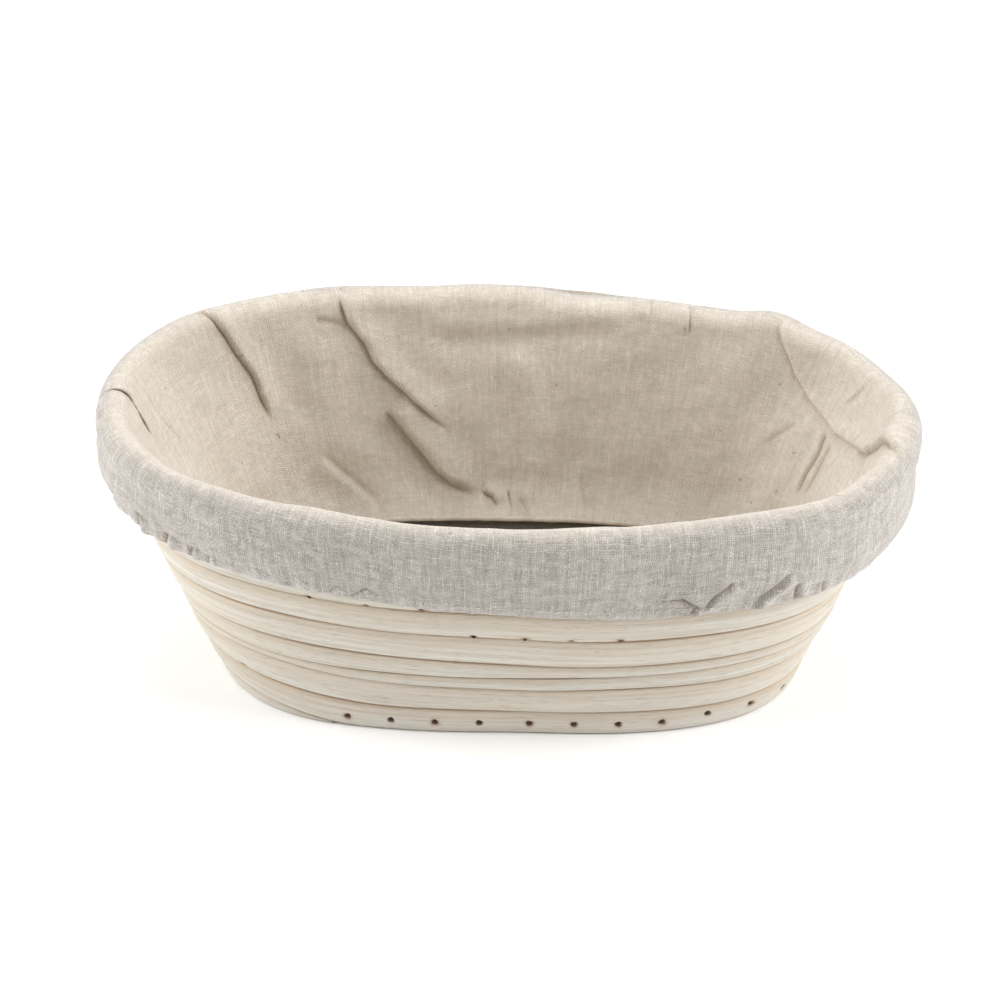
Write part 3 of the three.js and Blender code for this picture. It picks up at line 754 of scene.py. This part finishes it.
# Folds on the skirt outside: degrees round it, and mm up from the hem's edge.
SKIRT_FOLDS = [
    ([(-62, 7.5), (-58.5, 8.2), (-55.6, 4.5), (-56.5, 1.2), (-60, 1.0)], 0.8, 0.8, 1.1, 1.4, 1, 0.5),
    ([(-50.5, 12), (-53, 7.5), (-55.2, 2.0)], 0.7, 0.9, 1.0, 1.8, 1, 0.4),
    ([(-41.5, 12), (-44.5, 6.5), (-47.2, 0.8)], 0.6, 0.9, 1.5, 1.8, 1, 0.3),
    ([(-39.8, 8.0), (-39.2, 1.0)], 0.9, 0.9, 0.8, 1.6, 1, 0.8),
    ([(-35.2, 6.0), (-34.6, 0.5)], 0.8, 0.8, 0.6, 1.5, -1, 0.6),
    ([(-113.5, 5.5), (-117.5, 0.8)], 0.6, 0.8, 0.8, 1.4, 1, 0.4),
    ([(-118.5, 4.5), (-121.0, 0.6)], 0.5, 0.8, 0.7, 1.4, 1, 0.3),
    ([(-153.0, 7.5), (-154.0, 0.2)], 1.5, 1.0, 1.1, 1.9, 1, 0.9),
    ([(-147.0, 6.0), (-148.2, 0.2)], 1.4, 1.0, 1.0, 1.8, 1, 0.9),
    ([(-142.5, 5.0), (-143.2, 0.2)], 1.0, 0.8, 0.8, 1.5, 1, 0.7),
    ([(-139.6, 4.0), (-140.0, 0.2)], 0.8, 0.7, 0.7, 1.3, 1, 0.6),
    ([(-161.0, 7.0), (-162.0, 0.2)], 1.2, 1.0, 1.0, 1.9, 1, 0.8),
]


def add_fold(relief, crease_shade, x, y, fold):
    line, depth, width, high, high_width, side, tint = fold
    points = [(float(arc_at(deg)), up) for deg, up in line]
    signed, share = along_line(x, y, points)
    signed = signed * side
    fade = smooth(share / 0.10) * smooth((1 - share) / 0.22)
    # the ridge rises steeply at the crease and falls away gently on its far side
    rise = smooth((signed + 0.4 * width) / (1.7 * width))
    fall = np.exp(-(np.maximum(signed - 1.3 * width, 0) / (high_width * 1.25)) ** 2)
    relief += fade * (high * rise * fall - depth * bump(signed, -0.2 * width, width * 0.7))
    # painted shade: dark in the crease, with a soft painted shadow spreading on its side away from the ridge
    shadow_beside = 0.5 * bump(signed, 0, width * 2.3) * (signed < 0)
    shade = np.maximum(bump(signed, -0.1 * width, width * 0.6), shadow_beside)
    crease_shade[:] = np.maximum(crease_shade, tint * fade * shade)


# Where the cloth stands higher or sinks lower on the rim: the middle and half width in degrees, and the lift.
RIM_LIFTS = [(107, 13, -2.2), (80, 6, -1.0), (65, 5, 0.7), (42.5, 5, 2.3), (19, 9, -1.8), (-95, 30, -1.6),
             (-33, 11, -2.2), (150, 8, 0.5)]

COLUMNS = 1100  # all round
# rows from the floor seam up the inside, over the rim, down the skirt, round the hem, and back up inside it
ROWS_IN, ROWS_RIM, ROWS_OUT, ROWS_HEM, ROWS_UNDER = 150, 28, 64, 9, 8
HEM_ROW = ROWS_IN + ROWS_RIM + ROWS_OUT
SEAM_ROW = 4
BOWL_ROW = 60  # any row well inside the basket
SEAM_Z = 9.25
SEAM_HALF_GAP = 0.025  # degrees
CORNER_R = 13.0  # of the cloth between wall and floor
FLOOR_TUCK = 0.4
HEM_FOLD = 1.15  # how far the hem's fold hangs below the straight skirt
ROW_CROWDING = 1.4  # more than 1 brings the rows inside closer together near the floor
INNER_SLACK, SKIRT_SLACK = 0.75, 0.45  # how far the cloth stands off on average


def cloth_rows(deg):
    """For each part of the cloth, its rows' heights and distances out from the wall's middle; then the
    rim's centre, the hem's height, the angle over the rim and the share of the way up the skirt."""
    centre = HEIGHT - RIM_CENTRE - rim_drop(deg) + 0.35 * ripple(np.radians(deg), 11, 3, 9)
    for middle_deg, width, lift in RIM_LIFTS:
        centre = centre + lift * bump(deg, middle_deg, width)
    hem = hem_height(deg)
    reach = CLOTH_REACH

    t = np.linspace(0, 1, ROWS_IN)[None, :] ** ROW_CROWDING
    z_in = SEAM_Z + (centre - SEAM_Z) * t
    # the cloth rounds the corner between wall and floor
    short = np.clip(CORNER_R - (z_in - SEAM_Z), 0, CORNER_R)
    out_in = -reach - (CORNER_R - np.sqrt(CORNER_R ** 2 - short ** 2))
    angle = np.linspace(math.pi, 0, ROWS_RIM + 2)[None, 1:-1]
    z_rim, out_rim = centre + 0 * angle, reach + 0 * angle + 0 * centre
    s = np.linspace(1, 0, ROWS_OUT)[None, :]
    z_out = hem + HEM_FOLD + (centre - hem - HEM_FOLD) * s
    flare = 2.6 * bump(deg, 2, 34) * bump(s, 0.42, 0.34) + 1.0 * bump(deg, -175, 22) * bump(s, 0.5, 0.3)
    out_out = reach + (HEM_OUT - reach) * smooth((1 - s) / 0.62) + 0.25 * bump(z_out - hem, 2.2, 1.8) + flare
    under = np.linspace(0, math.pi, ROWS_HEM + 2)[None, 1:-1]
    turn_r = (HEM_OUT - reach - 0.15) / 2
    z_hem = hem + HEM_FOLD - HEM_FOLD * np.sin(under)
    out_hem = HEM_OUT - turn_r * (1 - np.cos(under)) + 0 * z_hem
    back = np.linspace(0, 1, ROWS_UNDER)[None, :]
    z_back = hem + HEM_FOLD + (HEM_BAND - 0.6) * back
    out_back = HEM_OUT - 2 * turn_r + 0 * z_back
    heights, outs = [z_in, z_rim, z_out, z_hem, z_back], [out_in, out_rim, out_out, out_hem, out_back]
    return heights, outs, centre, hem, angle, s


def inner_relief(x, y, turn):
    """How far the cloth inside the basket stands off its plain surface, and the painted shade in its creases.
    """
    relief, crease_shade = np.zeros_like(x), np.zeros_like(x)
    for fold in INNER_FOLDS:
        add_fold(relief, crease_shade, x, y, fold)
    for line, high, width in INNER_SWELLS:
        signed, _ = along_line(x, y, [(float(arc_at(d)), h) for d, h in line])
        relief += high * bump(signed, 0, width)
    relief += 0.55 * clouds(x, y, 21, 34) + 0.22 * clouds(x, y, 22, 11)
    relief += 0.35 * bump(y, SEAM_Z, 3.5) * ripple(turn, 31, 50, 90, 0.1)
    relief += INNER_SLACK
    return relief * mix(0.25, 1.0, smooth((y - SEAM_Z) / 5)), crease_shade


def skirt_relief(x, y, turn):
    """The same for the skirt outside."""
    relief, crease_shade = np.zeros_like(x), np.zeros_like(x)
    for fold in SKIRT_FOLDS:
        add_fold(relief, crease_shade, x, y, fold)
    gathers = 0.34 * ripple(turn, 41, 60, 120, 0.2) + 0.35 * ripple(turn, 42, 18, 40, 0.3)
    relief += np.exp(-np.maximum(y, 0) / 5.0) * gathers
    relief += 0.42 * clouds(x, y, 43, 30) * smooth(y / 8) + 0.12 * clouds(x, y, 44, 9)
    relief -= 0.08 * bump(y, HEM_BAND, 0.6)
    return relief + SKIRT_SLACK, crease_shade


def visible_normal(points, middle, outward):
    """Normals on the cloth's visible side, which faces the bowl inside and the room outside."""
    normal = np.cross(np.gradient(points, axis=1), np.gradient(middle, axis=0))
    normal /= np.linalg.norm(normal, axis=-1, keepdims=True) + 1e-12
    if (normal[:, BOWL_ROW] * outward[:, BOWL_ROW]).sum() > 0:
        normal = -normal
    return normal


def cloth_grid(degs):
    """Points of the cloth's middle surface from the floor seam to the end of the hem, for the given
    places round the basket; with its fields and its flat coordinates."""
    deg = degs[:, None]
    heights, outs, centre, hem, angle, s = cloth_rows(deg)

    def over_parts(*values):
        return np.hstack([value + 0 * part for value, part in zip(values, heights)])

    z, out = np.hstack(heights), np.hstack(outs)
    turn = np.radians(deg) + 0 * z
    arc = over_parts(math.pi, angle, 0, 0, 0)
    on_rim = over_parts(0, 1, 0, 0, 0) > 0
    inside = over_parts(1, smooth((angle - 0.9) / 1.6), 0, 0, 0)
    outward, up, _ = wall_axes(z, turn)
    middle = wall_middle(z, turn)
    straight = middle + outward * out[..., None]
    bent = middle + outward * (out * np.cos(arc))[..., None] + up * (out * np.sin(arc))[..., None]
    points = np.where(on_rim[..., None], bent, straight)

    # where each point lies: round the wall, and up the cloth from the floor (inside) or the hem (outside)
    x = arc_at(deg) + 0 * z
    y_in = np.where(on_rim, centre + CLOTH_REACH * (math.pi - arc), z)
    y_out = z - hem
    relief_in, crease_shade_in = inner_relief(x, y_in, turn)
    relief_in = relief_in * np.where(on_rim, smooth((arc - 0.4) / 2.4), 1.0)
    relief_out, crease_shade_out = skirt_relief(x, y_out, turn)
    relief = np.where(on_rim, mix(relief_out * 0.5, relief_in, smooth(arc / math.pi)),
                      np.where(inside > 0.5, relief_in, relief_out))
    # behind the rim the cloth is ruched over the cane's tail, and the ruche is painted in shade
    ruche = bump(deg, 78, 9) * bump(arc, 1.02, 0.22) * on_rim
    relief = relief + 1.7 * ruche
    relief = np.where(over_parts(0, 0, 0, 1, 1) > 0, 0.0, relief)
    relief = relief * (1 - 0.5 * over_parts(0, 0, bump(s, 0, 0.02), 0, 0))
    crease_shade = np.where(inside > 0.5, crease_shade_in, crease_shade_out)
    # painted shade on the ruche
    crease_shade = np.maximum(crease_shade, 0.8 * ruche)
    # painted shade along the corner where the wall's cloth meets the floor
    from_seam = np.sqrt(2 * CORNER_R * np.maximum(y_in - SEAM_Z, 0))
    crease_shade = np.maximum(crease_shade, 0.5 * bump(from_seam, 0, 0.6) * (inside > 0.5))

    points = points + visible_normal(points, middle, outward) * relief[..., None]
    steps = np.linalg.norm(np.diff(points, axis=1), axis=-1)
    run = np.concatenate([np.zeros((len(degs), 1)), np.cumsum(steps, axis=1)], 1)
    plan = np.stack([x * MM, run * MM], -1)
    hemmed = smooth((HEM_BAND - y_out) / 1.2) * (inside < 0.5)
    return points, {"inside": inside, "crease_shade": crease_shade, "hemmed": hemmed}, plan


def thicken(thing, thickness):
    solid = thing.modifiers.new("thickness", "SOLIDIFY")
    solid.thickness, solid.offset = thickness * MM, 0.0
    return thing


def panel(name, from_deg, to_deg, node):
    degs = np.linspace(from_deg + SEAM_HALF_GAP, to_deg - SEAM_HALF_GAP, COLUMNS // 2)
    points, fields, plan = cloth_grid(degs)
    thing = grid_mesh(name, points, fields=fields, plan=plan)
    return thicken(place(thing, "liner", "linen", linen, node), CLOTH)


front = panel("liner_front_cloth", -180.0, 0.0, "liner_front_panel")
back = panel("liner_back_cloth", 0.0, 180.0, "liner_back_panel")

FLOOR_RINGS = 60
FLOOR_Z, FLOOR_PUFF = 8.4, 0.25
# Folds on the floor: line in mm, crease depth, crease width, ridge height, ridge width.
FLOOR_FOLDS = [
    ([(-30, 44), (-6, 36), (16, 22)], 0.35, 1.2, 0.9, 3.5),
    ([(14, 47), (24, 34)], 0.3, 0.9, 0.6, 2.6),
    ([(40, 40), (30, 20), (26, 0)], 0.3, 1.6, 0.7, 4.0),
    ([(-60, -20), (-30, -8)], 0.3, 1.4, 0.7, 3.5),
]


def floor_cloth():
    degs = np.linspace(-180, 180, 361)[:-1]
    reach = np.full(len(degs), -CLOTH_REACH - CORNER_R + FLOOR_TUCK)
    edge = wall_point(SEAM_Z, reach, np.radians(degs))
    share = np.linspace(0.004, 1, FLOOR_RINGS)[None, :, None]
    points = edge[:, None, :] * share
    x, y = points[..., 0], points[..., 1]
    inner = smooth((1 - share[..., 0]) / 0.12)
    relief = 0.30 * clouds(x, y, 61, 26) + 0.14 * clouds(x, y, 62, 9)
    for line, depth, width, high, high_width in FLOOR_FOLDS:
        signed, along = along_line(x, y, line)
        fade = smooth(along / 0.15) * smooth((1 - along) / 0.3)
        ridge = high * bump(signed, high_width, high_width * 0.8)
        relief = relief + fade * (ridge - depth * bump(signed, 0, width))
    points[..., 2] = FLOOR_Z + np.maximum(relief + FLOOR_PUFF, -0.1) * mix(0.2, 1.0, inner)
    # painted shade round the floor cloth's edge, in the corner against the wall
    crease_shade = 0.85 * bump(share[..., 0] + 0 * x, 1.0, 0.012)
    fields = {"inside": 1 + 0 * x, "crease_shade": crease_shade, "hemmed": 0 * x}
    plan = np.stack([x * MM, y * MM], -1)
    thing = grid_mesh("liner_floor_cloth", points, wrap_rows=True, fields=fields, plan=plan)
    return thicken(place(thing, "liner", "linen", linen, "liner_floor_panel"), CLOTH)


floor_piece = floor_cloth()


# ---- elastic and threads ----
def tube(points, radius, sides=8):
    """Rings of points round a line."""
    along = np.gradient(points, axis=0)
    along /= np.linalg.norm(along, axis=1, keepdims=True)
    side = np.cross(along, (0.13, 0.21, 0.97))
    side /= np.linalg.norm(side, axis=1, keepdims=True)
    other = np.cross(along, side)
    around = np.linspace(0, 2 * math.pi, sides + 1)[:-1, None]
    ring = np.cos(around) * side[:, None, :] + np.sin(around) * other[:, None, :]
    return points[:, None, :] + ring * np.asarray(radius).reshape(-1, 1, 1)


def stitches(name, path, normal, length, gap, radius, node):
    """A row of separate stitches, each dipping into the cloth at both ends, as one piece."""
    run = np.concatenate([[0], np.cumsum(np.linalg.norm(np.diff(path, axis=0), axis=1))])
    verts, faces, along, girth = [], [], [], []
    count = int(run[-1] / (length + gap))
    sides, steps = 6, 7
    for i in range(count):
        start = i * (length + gap) + gap / 2
        s = np.linspace(start, start + length, steps)
        p = np.stack([np.interp(s, run, path[:, k]) for k in range(3)], -1)
        n = np.stack([np.interp(s, run, normal[:, k]) for k in range(3)], -1)
        arch = np.sin(np.linspace(0, math.pi, steps))
        p = p + n * (radius * (1.6 * arch - 1.1))[:, None]
        rings = tube(p, radius * (0.55 + 0.45 * arch), sides)
        base = len(verts)
        verts += rings.reshape(-1, 3).tolist()
        for a in range(steps - 1):
            for b in range(sides):
                c = (b + 1) % sides
                near, far = base + a * sides, base + (a + 1) * sides
                faces.append((near + b, near + c, far + c, far + b))
        faces.append(tuple(base + b for b in range(sides))[::-1])
        faces.append(tuple(base + (steps - 1) * sides + b for b in range(sides)))
        along += np.repeat(s * MM, sides).tolist()
        girth += np.tile(np.arange(sides) / sides, steps).tolist()
    thing = new_thing(name, np.array(verts), faces, {"along": along, "girth": girth})
    return place(facing_out(thing), "liner", "thread", thread, node)


ring_degs = np.linspace(-180, 180, 1441)


def cloth_row(row):
    """The cloth's points and outward normals along one of its rows, all round."""
    points, _, _ = cloth_grid(ring_degs)
    picked = points[:, row]
    down = points[:, row + 1] - points[:, row - 1]
    along = np.gradient(picked, axis=0)
    normal = np.cross(down, along)
    normal /= np.linalg.norm(normal, axis=1, keepdims=True)
    outward = wall_axes(picked[:, 2], np.radians(ring_degs))[0]
    if (normal * outward).sum() < 0:
        normal = -normal
    return picked, normal


hem_path, hem_normal = cloth_row(HEM_ROW - 9)
hem_thread = stitches("hem_stitching", hem_path + hem_normal * CLOTH / 2, hem_normal,
                      length=2.0, gap=0.9, radius=0.2, node="hem_thread")

seam_path, seam_normal = cloth_row(SEAM_ROW)
floor_thread = stitches("floor_seam_stitching", seam_path - seam_normal * CLOTH / 2, -seam_normal,
                        length=2.0, gap=1.0, radius=0.16, node="floor_seam_thread")


def end_seam(name, deg, node):
    points, _, _ = cloth_grid(np.array([deg - 0.4, deg, deg + 0.4]))
    before, line, after = points[:, 3:HEM_ROW - 4]
    down = np.gradient(line, axis=0)
    side = after - before
    normal = np.cross(down, side)
    normal /= np.linalg.norm(normal, axis=1, keepdims=True)
    inward = -line / np.linalg.norm(line, axis=1, keepdims=True)
    if normal[BOWL_ROW] @ inward[BOWL_ROW] < 0:
        normal = -normal
    return stitches(name, line + normal * CLOTH * 0.35, normal, length=2.0, gap=0.9, radius=0.18, node=node)


left_thread = end_seam("left_end_stitching", 180.0, "left_end_seam_thread")
right_thread = end_seam("right_end_stitching", 0.0, "right_end_seam_thread")


# The elastic's section: out and up from its lower edge, and the way round to each corner, in mm.
ELASTIC_SECTION = [(-0.3, 0.25, 0), (0.3, 0.25, 0.6), (0.34, 1.2, 1.5),
                   (0.3, 2.1, 2.4), (-0.3, 2.1, 3.0), (-0.34, 1.2, 3.9)]


def elastic_piece():
    degs = np.linspace(-180, 180, 721)[:-1]
    hem = hem_height(degs)
    crinkle = 0.18 * ripple(np.radians(degs), 71, 70, 120, 0.1)
    points = np.stack([wall_point(hem + 1.3 + up, HEM_OUT - 1.2 + out + crinkle, np.radians(degs))
                       for out, up, _ in ELASTIC_SECTION], 1)
    run = arc_at(degs)[:, None] * MM + 0 * points[..., 0]
    girth = np.array([way for _, _, way in ELASTIC_SECTION])[None, :] * MM + 0 * points[..., 0]
    fields = {"along": run, "girth": girth}
    thing = grid_mesh("hem_elastic", points, wrap_rows=True, wrap_columns=True, fields=fields)
    return place(facing_out(thing), "liner", "elastic", elastic, "elastic_band")


elastic_band = elastic_piece()

# ---- camera ----
CAMERA = {"elevation": 31.77, "azimuth": 2.02, "distance": 1.135, "lens": 133.15, "shift": (-0.0105, 0.0141)}
look_at = Vector((0, 0, HEIGHT / 2 * MM))
e, a = math.radians(CAMERA["elevation"]), math.radians(CAMERA["azimuth"])
back_way = Vector((math.sin(a) * math.cos(e), -math.cos(a) * math.cos(e), math.sin(e)))
lens = bpy.data.cameras.new("camera")
lens.lens, lens.sensor_width = CAMERA["lens"], 36.0
lens.shift_x, lens.shift_y = CAMERA["shift"]
lens.clip_start, lens.clip_end = 0.05, 30.0
camera = bpy.data.objects.new("camera", lens)
camera.location = look_at + back_way * CAMERA["distance"]
camera.rotation_euler = back_way.to_track_quat("Z", "Y").to_euler()
bpy.context.scene.collection.objects.link(camera)
bpy.context.scene.camera = camera

# ---- floor and light ----
ground = bpy.data.meshes.new("studio_floor")
GROUND_Z = -0.0002  # just under the foot
ground.from_pydata([(x, y, GROUND_Z) for x, y in ((-4, -4), (4, -4), (4, 4), (-4, 4))], [], [(0, 1, 2, 3)])
ground_piece = bpy.data.objects.new("studio_floor", ground)
ground.materials.append(floor_material())
bpy.context.scene.collection.objects.link(ground_piece)


def softbox(name, where, width, depth, power):
    light = bpy.data.lights.new(name, "AREA")
    light.shape, light.size, light.size_y = "RECTANGLE", width, depth
    light.energy = power
    thing = bpy.data.objects.new(name, light)
    thing.location = where
    thing.rotation_euler = (Vector(where) - look_at).to_track_quat("Z", "Y").to_euler()
    bpy.context.scene.collection.objects.link(thing)


softbox("left_softbox", (-1.3, -0.1, 0.75), 1.0, 1.0, 20.0)
softbox("right_softbox", (1.3, -0.1, 0.75), 1.0, 1.0, 21.5)
softbox("overhead_softbox", (0.0, 0.7, 1.5), 1.2, 1.0, 9.0)

world = bpy.data.worlds.new("studio")
world.use_nodes = True
world.node_tree.nodes["Background"].inputs["Color"].default_value = (1.0, 1.0, 1.0, 1.0)
world.node_tree.nodes["Background"].inputs["Strength"].default_value = 0.57
bpy.context.scene.world = world
bpy.context.scene.view_settings.view_transform = "Standard"
